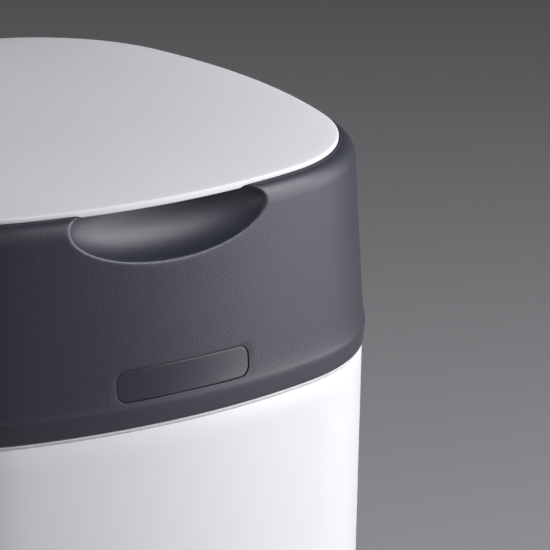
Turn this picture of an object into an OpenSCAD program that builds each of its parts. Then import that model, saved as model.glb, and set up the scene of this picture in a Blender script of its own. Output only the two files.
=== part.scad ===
// Nappy bin: a rounded square tub, a tilting collar with the film mechanism, and a lid.
// The floor is z = 0, +Z is up and the front faces -Y.
// Depths are measured down from the lid's top edge.

/* [Overall] */
// Width and depth across the crease, the collar's widest line
bin_w = 250.8; // [240:0.2:310]
// Height of the lid's top edge above the floor
bin_h = 461; // [360:1:620]
// Height from the collar's lower edge to the lid's top edge
collar_h = 79.2; // [78:0.2:110]
// Height of the crease above the collar's lower edge
crease_h = 7.4; // [5:0.1:9]
// Rise of the lid's dome above its edge
lid_crown = 4; // [1:0.5:12]

/* [Plan outline] */
// Radius of the bowed sides, in half widths
side_bow = 2.1; // [1.6:0.1:6]
// Radius of the corners, in half widths
corner_round = 0.6; // [0.4:0.05:0.8]

/* [Insets from the crease] */
// How far the tub's top edge stands inside the crease
tub_in = 1; // [0.6:0.1:3]
// How far the tub's foot stands inside the crease
foot_in = 3.2; // [1:0.1:12]
// How far the collar's lower edge stands inside the crease
collar_foot_in = 0.5; // [0:0.1:1.2]
// How far the top of the collar's wall stands inside the crease
shoulder_in = 4.4; // [4.2:0.1:5]
// How far the lid's edge stands inside the crease
lid_in = 10.4; // [10:0.1:14]

/* [Walls] */
// Wall of the tub
tub_wall = 2.4; // [1.6:0.1:3]
// Floor of the tub
floor_t = 3; // [2:0.5:6]
// Round along the tub's foot
foot_round = 6; // [3:0.5:12]
// Wall of the collar
collar_wall = 2.6; // [1.8:0.1:3]
// How far the shoulder's round reaches inwards
shoulder_round = 5.3; // [3:0.1:5.3]
// Height of the shoulder's round
shoulder_h = 7.5; // [4:0.5:12]
// Thickness of the lid's edge
lid_t = 2.4; // [2:0.1:3]
// Thickness of plates and ledges inside the collar
plate_t = 2.4; // [1.8:0.1:3]
// Wall of the round inner parts
ring_wall = 2; // [1.4:0.1:2.6]

/* [Finger scoop] */
// Width of the scoop on the collar's front
scoop_w = 85; // [50:1:100]
// Sideways place of the scoop's middle
scoop_x = -2.6; // [-10:0.1:10]
// Radius of the scoop's section
scoop_r = 15.5; // [10:0.5:16]
// Depth of the scoop's axis
scoop_d = 5; // [3:0.5:8]

/* [Badge panel] */
// Width of the panel
badge_w = 56; // [30:1:80]
// Height of the panel
badge_h = 11.4; // [8:0.2:14]
// Corner radius of the panel
badge_r = 3.8; // [1:0.1:3.9]
// Depth of the panel's middle
badge_d = 63.8; // [40:0.2:64]
// Depth of the panel's pocket in the wall
badge_pocket = 1.2; // [0.8:0.1:1.4]

/* [Film cassette] */
// Outer diameter of the cassette
cassette_d = 191.6; // [156:0.2:193]
// Height of the cassette
cassette_h = 36; // [26:0.5:37]
// Width of the cassette's film channel with its walls
film_w = 27.8; // [20:0.2:32]
// Wall of the cassette
cassette_wall = 1.8; // [1.2:0.1:2.4]
// Depth of the turning ring's top, the well under the lid
well_d = 13; // [12:0.5:15]
// Number of finger tabs on the turning ring
tabs = 8; // [4:1:12]
// Number of ratchet teeth
teeth = 36; // [24:1:48]

/* [Clamp flaps] */
// Thickness of a flap
flap_t = 2.2; // [1.6:0.1:3]
// Half gap between the tips of two facing flaps
tip_gap = 4.5; // [3:0.5:8]
// Thickness of a flap's soft pad
pad_t = 1; // [0.6:0.1:1.4]

/* [Cutter] */
// Width of the curved arm
cutter_w = 8; // [6:0.5:9]
// Reach of the finger pad beyond the pivot
cutter_tail = 34; // [32:1:36]
// Height of the finger pad
cutter_pad_h = 18; // [8:1:24]

/* [Pins] */
// Diameter of the tilting hinge's pin
tilt_pin_d = 4; // [3:0.1:5]
// Diameter of the lid hinge's pin
lid_pin_d = 3; // [2:0.1:3.6]
// Diameter of the flaps' pins
flap_pin_d = 2.5; // [1.8:0.1:3]
// Diameter of the cutter's pivot
cutter_pin_d = 6; // [4:0.5:7]
// Diameter of the screws' shanks
screw_d = 3.4; // [2.5:0.1:4]

/* [Clearances] */
// Radial gap of a pin that turns in its bore
run_gap = 0.05; // [0.02:0.01:0.1]
// Radial gap of a pin that stays in its bore
press_gap = 0.01; // [0:0.01:0.02]
// Gap between pieces that move past each other
gap = 0.3; // [0.2:0.05:0.4]
// Gap beside the lid where it swings up out of its rebate
lid_gap = 0.4; // [0.3:0.05:0.8]

/* [Hidden] */
$fn = 96;
eps = 0.01;
over = 5;

half = bin_w / 2;
lid_a = half - lid_in;
shoulder_a = half - shoulder_in;
collar_foot_a = half - collar_foot_in;
tub_top_a = half - tub_in;
foot_a = half - foot_in;
lid_rise = 1.9;
crease_d = collar_h - crease_h;

// Rounded square with unit half width: bowed side arcs and corner arcs that meet in tangent.
bow_k = side_bow - 1;
bow_c = (-bow_k + sqrt(2 * pow(side_bow - corner_round, 2) - bow_k * bow_k)) / 2;
bow_a = atan2(bow_c, bow_c + bow_k);
side_steps = 8;
corner_steps = 12;
function arc(x, y, r, from, sweep, steps) =
    [for (i = [0:steps - 1]) let (t = from + sweep * i / steps) [x + r * cos(t), y + r * sin(t)]];
quarter = concat(
    arc(-bow_k, 0, side_bow, -bow_a, 2 * bow_a, side_steps),
    arc(bow_c, bow_c, corner_round, bow_a, 90 - 2 * bow_a, corner_steps));
function turned(p, a) = [p[0] * cos(a) - p[1] * sin(a), p[0] * sin(a) + p[1] * cos(a)];
outline = [for (q = [0:3]) for (p = quarter) turned(p, 90 * q)];
count = len(outline);
function corner_reach(a) = a * (bow_c * sqrt(2) + corner_round);

// Height above the floor of a depth below the lid's edge
function up(d) = bin_h - d;

// Collar's outer line, from its lower edge to the top of the wall: depth and half width
collar_line = [
    [collar_h, collar_foot_a],
    [crease_d, half],
    [crease_d - 4.5, half - 0.75],
    [crease_d - 20, half - 1.85],
    [crease_d - 40, half - 3.1],
    [lid_rise + shoulder_h, shoulder_a]];
function collar_a(d) = lookup(d, [for (p = collar_line) [p[0], p[1]]]);
shoulder_steps = 7;
collar_skin = concat(
    [for (p = collar_line) [up(p[0]), p[1]]],
    [for (i = [1:shoulder_steps]) let (t = 90 * i / shoulder_steps)
        [up(lid_rise + shoulder_h * (1 - sin(t))), shoulder_a - shoulder_round * (1 - cos(t))]]);

// Lid seat
rebate_d = lid_t + gap;
rebate_a = lid_a + lid_gap;
flange_d = rebate_d + plate_t;
flange_a = lid_a - 12;
skirt_a = flange_a - 1;
skirt_d = 7;
dome_steps = 6;
function dome(a) = lid_crown * (1 - pow(a / lid_a, 2));

// Scoop
scoop_y = -collar_a(scoop_d * 2);
scoop_wall = 2;
scoop_steps = 20;

// Stack inside the collar, from the turning ring down
grip_h = 4;
tab_h = 4;
cap_rise = 1.8;
cassette_top_d = well_d + grip_h + 5;
cassette_base_d = cassette_top_d + cassette_h;
cup_base_d = cassette_base_d + plate_t;
tray_top_d = cup_base_d + gap;
tray_base_d = tray_top_d + plate_t;
cassette_r = cassette_d / 2;
cassette_in_r = cassette_r - film_w;
cup_in_r = cassette_r + 0.5;
cup_r = cup_in_r + ring_wall;
tooth_base_r = cup_r + 1.2;
tooth_r = tooth_base_r + 1.4;
tray_wall_r = tooth_r + 2.4;
tray_wall_top_d = cassette_top_d + 2;
throat_r = cassette_in_r - 10;
hub_r = throat_r + ring_wall;
hub_h = 9;
tray_a = min(collar_a(tray_top_d), collar_a(tray_base_d)) - collar_wall - gap;
ledge_a = tray_a - 8;
boss_r = 4;
boss_h = 10;
boss_at = (corner_reach(tray_a) - boss_r - 1) / sqrt(2);
screw_len = 8;
screw_head_r = 3.5;
screw_head_h = 2;

// Cutter and clamp carrier, under the tray
arm_top_d = tray_base_d + 0.6;
arm_base_d = arm_top_d + plate_t;
carrier_top_d = arm_base_d + 0.9;
carrier_base_d = carrier_top_d + plate_t;
carrier_r = throat_r + 22;
post_at = carrier_r - 3.5;
post_r = 3.2;
post_angles = [45, 135, 245, 315];
arm_mid_r = throat_r + 8;
pivot_a = 200;
arm_sweep = 120;
pivot_at = turned([arm_mid_r, 0], pivot_a);
arm_boss_r = cutter_pin_d / 2 + 3.5;
pad_r = 5;
blade_t = 0.8;
blade_out = 2.5;

knuckle_r = flap_pin_d / 2 + 1.4;
flap_axis_d = carrier_base_d + knuckle_r + 0.8;
flap_axis_x = throat_r - 10;
flap_half = throat_r / 2;
flap_bevel = flap_half + 1;
ear_t = 3;
spring_half = 8;
spring_r = flap_pin_d / 2 + 0.9;
flap_a = [270, 0, 90, 180];

// Lid hinge
lid_axis_d = lid_pin_d / 2 + 2.7;
lid_barrel_r = lid_axis_d;
lid_axis_y = lid_a + 2.5;
lid_knuckle_half = 16;
lug_len = 10;
lug_end = lid_knuckle_half + gap + lug_len;
pipe_wall = 1.8;

// Tilting hinge
tilt_r = tilt_pin_d / 2 + 2.5;
tilt_y = half + tilt_r + 0.6;
rim_t = 0.7;
groove_h = 0.8;
rim_top_d = collar_h + gap;
tub_top_d = rim_top_d + rim_t + groove_h;
tilt_z = up(tub_top_d);
tilt_half = 30;
tilt_lug = 14;
tilt_end = tilt_half + gap + tilt_lug;

// Rim ring and catch
spigot_h = 12;
upstand_h = 7.5;
spigot_a = tub_top_a - tub_wall - 0.2;
rim_in_a = spigot_a - 2.8;
ledge_in = 0.7;
hook_w = 24;
hook_t = 2;
hook_nib = 1.6;
hook_bow = side_bow * rim_in_a - sqrt(pow(side_bow * rim_in_a, 2) - pow(hook_w / 2, 2));
hook_y = rim_in_a - ledge_in - hook_bow - gap - hook_nib - hook_t;
hook_base_d = rim_top_d + 7;

// Solid through rounded square sections, given as height and half width from the bottom up
module loft(line) {
    rings = len(line);
    points = [for (p = line) for (o = outline) [o[0] * p[1], o[1] * p[1], p[0]]];
    sides = [for (r = [0:rings - 2]) for (i = [0:count - 1])
        let (j = (i + 1) % count)
        [r * count + i, (r + 1) * count + i, (r + 1) * count + j, r * count + j]];
    polyhedron(points, concat(
        [[for (i = [0:count - 1]) i]],
        sides,
        [[for (i = [count - 1:-1:0]) (rings - 1) * count + i]]));
}

// Straight rounded square block between two depths
module block(a, from_d, to_d) {
    translate([0, 0, up(to_d)])
        linear_extrude(to_d - from_d)
            polygon([for (o = outline) o * a]);
}

module tube(r_out, r_in, from_d, to_d) {
    translate([0, 0, up(to_d)])
        difference() {
            cylinder(r = r_out, h = to_d - from_d);
            translate([0, 0, -over]) cylinder(r = r_in, h = to_d - from_d + 2 * over);
        }
}

module disc(r, from_d, to_d) {
    translate([0, 0, up(to_d)]) cylinder(r = r, h = to_d - from_d);
}

// Cylinder along X, centred on x = 0
module across(r, length, y, z) {
    translate([-length / 2, y, z]) rotate([0, 90, 0]) cylinder(r = r, h = length);
}

// Lug's side shape, given as y and z points, pulled along X between two places
module side_plate(points, from_x, to_x) {
    translate([from_x, 0, 0])
        rotate([90, 0, 90])
            linear_extrude(to_x - from_x) polygon(points);
}

module mirrored_x() {
    children();
    mirror([1, 0, 0]) children();
}

// Base

module tub_shell() {
    steps = 4;
    skin = concat(
        [for (i = [0:steps - 1]) let (t = 90 * i / steps)
            [foot_round * (1 - cos(t)), foot_a - foot_round * (1 - sin(t))]],
        [[foot_round, foot_a], [tilt_z, tub_top_a]]);
    hollow = [
        [floor_t, foot_a - tub_wall - foot_round + 2],
        [foot_round, foot_a - tub_wall],
        [tilt_z + over, tub_top_a - tub_wall]];
    color("white")
    difference() {
        union() {
            loft(skin);
            mirrored_x() {
                side_plate([
                    [tub_top_a - 10, tilt_z - 0.8],
                    [tilt_y - 2, tilt_z - 0.8],
                    [tilt_y + tilt_r * 0.7, tilt_z - tilt_r * 0.7],
                    [tub_top_a - 10, tilt_z - 26]], tilt_half + gap, tilt_end);
                translate([tilt_half + gap, tilt_y, tilt_z])
                    rotate([0, 90, 0]) cylinder(r = tilt_r, h = tilt_lug);
            }
        }
        loft(hollow);
        across(tilt_pin_d / 2 + press_gap, 2 * tilt_end + over, tilt_y, tilt_z);
        translate([0, 0, -eps])
            difference() {
                cylinder(r = foot_a - 22, h = 1);
                translate([0, 0, -over]) cylinder(r = 30, h = 2 * over);
            }
    }
}

module rim_ring() {
    color("white")
    difference() {
        loft([
            [tilt_z - spigot_h, spigot_a],
            [tilt_z, spigot_a],
            [tilt_z, tub_top_a - 1],
            [tilt_z + groove_h, tub_top_a - 1],
            [tilt_z + groove_h, tub_top_a + 0.1],
            [up(rim_top_d), tub_top_a + 0.1],
            [up(rim_top_d), spigot_a - 1.1],
            [up(rim_top_d) + upstand_h, spigot_a - 1.3]]);
        block(rim_in_a, rim_top_d - 2 * upstand_h, rim_top_d - 1.5);
        block(rim_in_a - ledge_in, rim_top_d - 2 * upstand_h, rim_top_d + over);
        block(rim_in_a, rim_top_d + 0.5, tub_top_d + 2 * spigot_h);
    }
}

module tilt_hinge_pin() {
    color("silver") across(tilt_pin_d / 2, 2 * tilt_end, tilt_y, tilt_z);
}

// Collar

// Spindle shape of the scoop, grown by a wall
module scoop(grow) {
    w = scoop_w / 2 + grow;
    r = scoop_r + grow;
    translate([scoop_x, scoop_y, up(scoop_d)])
        rotate([0, 90, 0])
            rotate_extrude()
                polygon([for (i = [0:scoop_steps]) let (t = -90 + 180 * i / scoop_steps)
                    [r * max(cos(t), 0), w * sin(t)]]);
}

module badge_shape(grow) {
    w = badge_w / 2 - badge_r;
    h = badge_h / 2 - badge_r;
    translate([0, -half + over, up(badge_d)])
        rotate([90, 0, 0])
            linear_extrude(2 * over)
                union() {
                    square([2 * w, badge_h + 2 * grow], center = true);
                    square([badge_w + 2 * grow, 2 * h], center = true);
                    for (x = [-w, w])
                        for (y = [-h, h])
                            translate([x, y]) circle(r = badge_r + grow);
                }
}

// The collar's outer skin, drawn in by some distance
module collar_core(inset) {
    loft([for (p = collar_line) [up(p[0]), p[1] - inset]]);
}

module collar_shell() {
    hollow = concat(
        [[up(collar_h) - over, collar_foot_a - collar_wall]],
        [for (p = collar_line) if (p[0] > flange_d) [up(p[0]), p[1] - collar_wall]],
        [[up(flange_d), shoulder_a - collar_wall]]);
    color([0.2, 0.22, 0.25])
    difference() {
        union() {
            difference() {
                union() {
                    loft(collar_skin);
                    side_plate([
                        [half - over, up(collar_h) + 0.8],
                        [tilt_y - 1, up(collar_h) + 0.8],
                        [tilt_y + tilt_r * 0.7, tilt_z + tilt_r * 0.7],
                        [half - over, up(collar_h) + 18]], -tilt_half, tilt_half);
                    across(tilt_r, 2 * tilt_half, tilt_y, tilt_z);
                }
                loft(hollow);
            }
            difference() {
                block(tray_a + 1, tray_top_d - plate_t, tray_top_d);
                block(ledge_a, tray_top_d - plate_t - over, tray_top_d + over);
            }
            for (x = [-boss_at, boss_at])
                for (y = [-boss_at, boss_at])
                    translate([x, y, 0]) disc(boss_r, tray_top_d - boss_h, tray_top_d);
            intersection() {
                scoop(scoop_wall);
                loft(collar_skin);
            }
            intersection() {
                across(lid_barrel_r + pipe_wall, 2 * lug_end, lid_axis_y, up(lid_axis_d));
                translate([-half, 0, up(lid_axis_d + 2 * lid_barrel_r)])
                    cube([bin_w, half, 2 * lid_barrel_r]);
            }
            mirrored_x()
                translate([lid_knuckle_half + gap, lid_axis_y, up(lid_axis_d)])
                    rotate([0, 90, 0]) cylinder(r = lid_barrel_r, h = lug_len);
        }
        block(flange_a, -over, flange_d + eps);
        difference() {
            block(rebate_a, -over, rebate_d);
            mirrored_x()
                translate([lid_knuckle_half + gap, lid_axis_y, up(lid_axis_d)])
                    rotate([0, 90, 0]) cylinder(r = lid_barrel_r, h = lug_len);
        }
        scoop(0);
        across(lid_barrel_r + gap, 2 * (lid_knuckle_half + gap), lid_axis_y, up(lid_axis_d));
        translate([-lid_knuckle_half - gap, lid_a - over, up(rebate_d)])
            cube([2 * (lid_knuckle_half + gap), lid_axis_y - lid_a + over, over]);
        across(lid_pin_d / 2 + press_gap, 2 * lug_end + over, lid_axis_y, up(lid_axis_d));
        across(tilt_pin_d / 2 + run_gap, 2 * tilt_end, tilt_y, tilt_z);
        difference() {
            badge_shape(0.15);
            collar_core(badge_pocket);
        }
        for (x = [-boss_at, boss_at])
            for (y = [-boss_at, boss_at])
                translate([x, y, up(tray_top_d) - over])
                    cylinder(r = screw_d / 2 + press_gap, h = screw_len + over);
    }
}

module badge_panel() {
    color([0.15, 0.17, 0.2])
    intersection() {
        badge_shape(0);
        difference() {
            collar_core(0.25);
            collar_core(badge_pocket);
        }
    }
}

module cassette_tray() {
    color("gainsboro")
    difference() {
        union() {
            block(tray_a, tray_top_d, tray_base_d);
            tube(tray_wall_r + ring_wall, tray_wall_r, tray_wall_top_d, tray_base_d);
            disc(hub_r, tray_base_d - hub_h, tray_base_d);
        }
        disc(throat_r, tray_base_d - 2 * hub_h, tray_base_d + over);
        for (x = [-boss_at, boss_at])
            for (y = [-boss_at, boss_at])
                translate([x, y, 0]) disc(screw_d / 2 + press_gap, tray_top_d - over, tray_base_d + over);
        for (a = post_angles)
            rotate(a) translate([post_at, 0, 0])
                disc(screw_d / 2 - 0.4, tray_top_d + 0.6, tray_base_d + over);
    }
}

// Pan head and shank, pointing up from its seat
module screw(seat_d, length) {
    translate([0, 0, up(seat_d) - screw_head_h]) cylinder(r = screw_head_r, h = screw_head_h, $fn = 48);
    translate([0, 0, up(seat_d) - screw_head_h]) cylinder(r = screw_d / 2, h = screw_head_h + length, $fn = 48);
}

module tray_screws() {
    color("silver")
    for (x = [-boss_at, boss_at])
        for (y = [-boss_at, boss_at])
            translate([x, y, 0]) screw(tray_base_d, plate_t + screw_len - 1);
}

module catch_hook() {
    color("gainsboro")
    side_plate([
        [-hook_y, up(tray_base_d)],
        [-hook_y - hook_t, up(tray_base_d)],
        [-hook_y - hook_t, up(hook_base_d) + 4],
        [-hook_y - hook_t - hook_nib, up(hook_base_d) + 3],
        [-hook_y - hook_t - hook_nib, up(hook_base_d) + 1.5],
        [-hook_y - hook_t, up(hook_base_d)],
        [-hook_y, up(hook_base_d)]], -hook_w / 2, hook_w / 2);
}

module click_pawl() {
    pawl_half = 9;
    pawl_h = 6;
    pawl_t = 0.7;
    pawl_x = sqrt(pow(tray_wall_r, 2) - pow(pawl_half, 2)) - 0.1;
    color("dodgerblue")
    translate([0, 0, up(tray_top_d)])
        linear_extrude(pawl_h)
            polygon([
                [pawl_x - pawl_t, -pawl_half],
                [pawl_x, -pawl_half],
                [pawl_x, pawl_half],
                [pawl_x - pawl_t, pawl_half],
                [pawl_x - pawl_t, 1.5],
                [tooth_r + gap + 0.1, 0],
                [pawl_x - pawl_t, -1.5]]);
}

module lid_hinge_pin() {
    color("silver") across(lid_pin_d / 2, 2 * lug_end, lid_axis_y, up(lid_axis_d));
}

// Turntable and cassette

module turntable_cup() {
    color("whitesmoke")
    union() {
        tube(cup_r, hub_r + gap, cassette_base_d, cup_base_d);
        tube(cup_r, cup_in_r, well_d + grip_h, cup_base_d);
        tube(hub_r + gap + ring_wall, hub_r + gap, cup_base_d - hub_h, cup_base_d);
    }
}

module ratchet_ring() {
    step = 360 / teeth;
    color("dodgerblue")
    translate([0, 0, up(cup_base_d - 0.5)])
        linear_extrude(4)
            difference() {
                polygon([for (i = [0:teeth - 1]) for (p = [[0, tooth_base_r], [step * 0.85, tooth_r]])
                    turned([p[1], 0], step * i + p[0])]);
                circle(r = cup_r + press_gap, $fn = 360);
            }
}

module grip_ring() {
    tab_w = 16;
    color("dodgerblue")
    union() {
        tube(cup_r + 3.2, cup_in_r, well_d, well_d + grip_h);
        for (i = [0:tabs - 1])
            rotate(360 * i / tabs)
                translate([cup_in_r + 1, -tab_w / 2, up(well_d + 1)]) cube([3, tab_w, tab_h + 1]);
    }
}

module cassette_body() {
    inner_top_d = cassette_top_d + 8;
    color("lightskyblue")
    union() {
        tube(cassette_r, cassette_in_r, cassette_base_d - cassette_wall, cassette_base_d);
        tube(cassette_r, cassette_r - cassette_wall, cassette_top_d, cassette_base_d);
        tube(cassette_in_r + cassette_wall, cassette_in_r, inner_top_d, cassette_base_d);
    }
}

module film_pack() {
    pleats = 9;
    slack = 0.4;
    lip = 9;
    r_in = cassette_in_r + cassette_wall + slack;
    r_out = cassette_r - cassette_wall - slack;
    pleat_h = (cassette_h - cassette_wall - lip) / pleats;
    color([0.8, 0.9, 0.95])
    translate([0, 0, up(cassette_base_d - cassette_wall)])
        rotate_extrude()
            polygon(concat(
                [for (i = [0:pleats - 1]) for (p = [[1, 0], [0, 0.5]]) [r_in + p[0], (i + p[1]) * pleat_h]],
                [[r_in + 1, pleats * pleat_h], [r_out - 1, pleats * pleat_h]],
                [for (i = [pleats - 1:-1:0]) for (p = [[0, 0.5], [1, 0]]) [r_out - p[0], (i + p[1]) * pleat_h]]));
}

module cassette_cap() {
    slope = 5;
    lip_r = cassette_in_r + cassette_wall + 2.4;
    color("deepskyblue")
    translate([0, 0, up(cassette_top_d)])
        rotate_extrude()
            polygon([
                [cassette_r, 0],
                [cassette_r, cap_rise],
                [cassette_r - cassette_wall - 2, cap_rise],
                [lip_r, cap_rise - slope],
                [lip_r, -slope],
                [cassette_r - cassette_wall - 2, 0]]);
}

// Lid

module lid_shell() {
    skin = concat([
        [up(lid_t), lid_a - 1.2],
        [up(lid_t) + 1, lid_a],
        [up(0.8), lid_a],
        [up(0.25), lid_a - 0.25],
        [up(0), lid_a - 0.9]],
        [for (i = [1:dome_steps]) let (a = (lid_a - 0.9) * (1 - i / (dome_steps + 0.3)))
            [up(-dome(a)), a]]);
    hollow = concat(
        [[up(skirt_d + over), skirt_a - ring_wall]],
        [for (i = [0:dome_steps - 1]) let (a = (skirt_a - ring_wall) * (1 - i / dome_steps))
            [up(lid_t - dome(a)), a]]);
    color("white")
    difference() {
        union() {
            difference() {
                union() {
                    loft(skin);
                    block(skirt_a, lid_t - eps, skirt_d);
                }
                loft(hollow);
                block_ring(lid_a - 7, lid_a - 10, lid_t - 1.2, lid_t + over);
                across(lid_barrel_r + gap, 2 * (lug_end + gap), lid_axis_y, up(lid_axis_d));
            }
            across(lid_barrel_r, 2 * lid_knuckle_half, lid_axis_y, up(lid_axis_d));
            translate([-lid_knuckle_half, lid_a - 6, up(lid_t)])
                cube([2 * lid_knuckle_half, lid_axis_y - lid_a + 6, lid_t]);
        }
        across(lid_pin_d / 2 + run_gap, 2 * lug_end, lid_axis_y, up(lid_axis_d));
    }
}

module block_ring(a_out, a_in, from_d, to_d) {
    difference() {
        block(a_out, from_d, to_d);
        block(a_in, from_d - over, to_d + over);
    }
}

module lid_liner() {
    color("gainsboro") block(skirt_a - ring_wall - 0.1, lid_t + 0.4, lid_t + 2);
}

module lid_seal() {
    color("dimgray") block_ring(lid_a - 7.1, lid_a - 9.9, lid_t - 1.2, lid_t);
}

// Clamps

module clamp_carrier() {
    color("gainsboro")
    difference() {
        union() {
            disc(carrier_r, carrier_top_d, carrier_base_d);
            for (a = post_angles)
                rotate(a) translate([post_at, 0, 0]) disc(post_r, tray_base_d, carrier_base_d);
            for (a = flap_a)
                rotate(a)
                    for (y = [-flap_half - gap - ear_t, flap_half + gap])
                        translate([flap_axis_x, y, 0]) {
                            translate([0, ear_t, up(flap_axis_d)])
                                rotate([90, 0, 0]) cylinder(r = knuckle_r, h = ear_t);
                            translate([-knuckle_r, 0, up(flap_axis_d)])
                                cube([2 * knuckle_r, ear_t, flap_axis_d - carrier_base_d + eps]);
                        }
        }
        translate([0, 0, up(carrier_base_d) - over])
            linear_extrude(plate_t + 2 * over)
                intersection() {
                    circle(r = throat_r);
                    square(2 * (flap_axis_x - 3), center = true);
                }
        for (a = flap_a)
            rotate(a)
                translate([flap_axis_x, flap_half + gap + ear_t + over, up(flap_axis_d)])
                    rotate([90, 0, 0])
                        cylinder(r = flap_pin_d / 2 + press_gap, h = 2 * (flap_half + gap + ear_t + over));
        for (a = post_angles)
            rotate(a) translate([post_at, 0, 0])
                disc(screw_d / 2 - 0.4 + press_gap, tray_base_d - over, carrier_base_d + over);
        translate([pivot_at[0], pivot_at[1], 0])
            disc(cutter_pin_d / 2 + press_gap, carrier_top_d - over, carrier_base_d + over);
    }
}

module carrier_screws() {
    color("silver")
    for (a = post_angles)
        rotate(a) translate([post_at, 0, 0]) {
            disc(2.6, carrier_base_d, carrier_base_d + 1.6);
            disc(screw_d / 2 - 0.4, tray_top_d + 0.8, carrier_base_d + 1.6);
        }
}

module flap_pins() {
    pin_half = flap_half + gap + ear_t;
    color("silver")
    for (a = flap_a)
        rotate(a)
            translate([flap_axis_x, pin_half, up(flap_axis_d)])
                rotate([90, 0, 0]) cylinder(r = flap_pin_d / 2, h = 2 * pin_half);
}

module flap_springs() {
    color("gray")
    for (a = flap_a)
        rotate(a)
            translate([flap_axis_x, spring_half, up(flap_axis_d)])
                rotate([90, 0, 0])
                    difference() {
                        cylinder(r = spring_r, h = 2 * spring_half);
                        translate([0, 0, -over])
                            cylinder(r = flap_pin_d / 2 + 0.2, h = 2 * (spring_half + over));
                    }
}

// Flap that points to the middle from its hinge on +X
module flap() {
    root_x = flap_axis_x - 1.5;
    color("aliceblue")
    difference() {
        union() {
            translate([0, 0, up(flap_axis_d) - flap_t / 2])
                linear_extrude(flap_t)
                    polygon([
                        [root_x, flap_half],
                        [flap_bevel, flap_half],
                        [tip_gap, tip_gap - 1],
                        [tip_gap, 1 - tip_gap],
                        [flap_bevel, -flap_half],
                        [root_x, -flap_half]]);
            translate([flap_axis_x, flap_half, up(flap_axis_d)])
                rotate([90, 0, 0]) cylinder(r = knuckle_r, h = 2 * flap_half);
        }
        translate([flap_axis_x, flap_half + over, up(flap_axis_d)])
            rotate([90, 0, 0]) cylinder(r = flap_pin_d / 2 + run_gap, h = 2 * (flap_half + over));
        translate([flap_axis_x - spring_r - 1.2, -spring_half - gap, up(flap_axis_d) - over])
            cube([2 * over, 2 * (spring_half + gap), 2 * over]);
    }
}

// Soft pad on top of a flap's tip
module pad() {
    color("dimgray")
    translate([0, 0, up(flap_axis_d) + flap_t / 2])
        linear_extrude(pad_t)
            polygon([
                [flap_bevel - 5, flap_bevel - 8],
                [tip_gap + 2, tip_gap - 1],
                [tip_gap + 2, 1 - tip_gap],
                [flap_bevel - 5, 8 - flap_bevel]]);
}

module flap_front() { rotate(flap_a[0]) flap(); }
module flap_right() { rotate(flap_a[1]) flap(); }
module flap_rear() { rotate(flap_a[2]) flap(); }
module flap_left() { rotate(flap_a[3]) flap(); }
module pad_front() { rotate(flap_a[0]) pad(); }
module pad_right() { rotate(flap_a[1]) pad(); }
module pad_rear() { rotate(flap_a[2]) pad(); }
module pad_left() { rotate(flap_a[3]) pad(); }

// Cutter

module cutter_pivot() {
    color("silver")
    translate([pivot_at[0], pivot_at[1], 0]) disc(cutter_pin_d / 2, tray_base_d, carrier_base_d);
}

// Flat band along part of a circle around the throat
module arc_band(r_out, r_in, from_a, sweep, from_d, to_d) {
    rotate(from_a)
        translate([0, 0, up(to_d)])
            rotate_extrude(angle = sweep)
                translate([r_in, 0]) square([r_out - r_in, to_d - from_d]);
}

module cutter_arm() {
    tail = turned([cutter_tail, 0], pivot_a);
    color("orange")
    difference() {
        union() {
            arc_band(arm_mid_r + cutter_w / 2, arm_mid_r - cutter_w / 2, pivot_a, arm_sweep,
                arm_top_d, arm_base_d);
            translate([pivot_at[0], pivot_at[1], 0]) {
                disc(arm_boss_r, arm_top_d, arm_base_d);
                rotate(pivot_a)
                    translate([0, -cutter_w / 2, up(arm_base_d)]) cube([cutter_tail, cutter_w, plate_t]);
                translate([tail[0], tail[1], 0]) disc(pad_r, arm_top_d, arm_base_d + cutter_pad_h);
            }
        }
        translate([pivot_at[0], pivot_at[1], 0])
            disc(cutter_pin_d / 2 + run_gap, arm_top_d - over, arm_base_d + over);
        arc_band(arm_mid_r - cutter_w / 2 + 2, arm_mid_r - cutter_w / 2 - over,
            pivot_a + 22, arm_sweep - 26, arm_top_d + 0.8 - press_gap, arm_top_d + 0.8 + blade_t + press_gap);
    }
}

module cutter_blade() {
    color("silver")
    arc_band(arm_mid_r - cutter_w / 2 + 2 - press_gap, arm_mid_r - cutter_w / 2 - blade_out,
        pivot_a + 22.2, arm_sweep - 26.4, arm_top_d + 0.8, arm_top_d + 0.8 + blade_t);
}

tub_shell();
rim_ring();
tilt_hinge_pin();
collar_shell();
badge_panel();
cassette_tray();
tray_screws();
catch_hook();
click_pawl();
lid_hinge_pin();
clamp_carrier();
carrier_screws();
flap_pins();
flap_springs();
cutter_pivot();
turntable_cup();
ratchet_ring();
grip_ring();
cassette_body();
film_pack();
cassette_cap();
lid_shell();
lid_liner();
lid_seal();
flap_front();
flap_right();
flap_rear();
flap_left();
pad_front();
pad_right();
pad_rear();
pad_left();
cutter_arm();
cutter_blade();
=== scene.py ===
import math

import bmesh
import bpy
import numpy as np
from mathutils import Matrix, Vector


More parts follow.
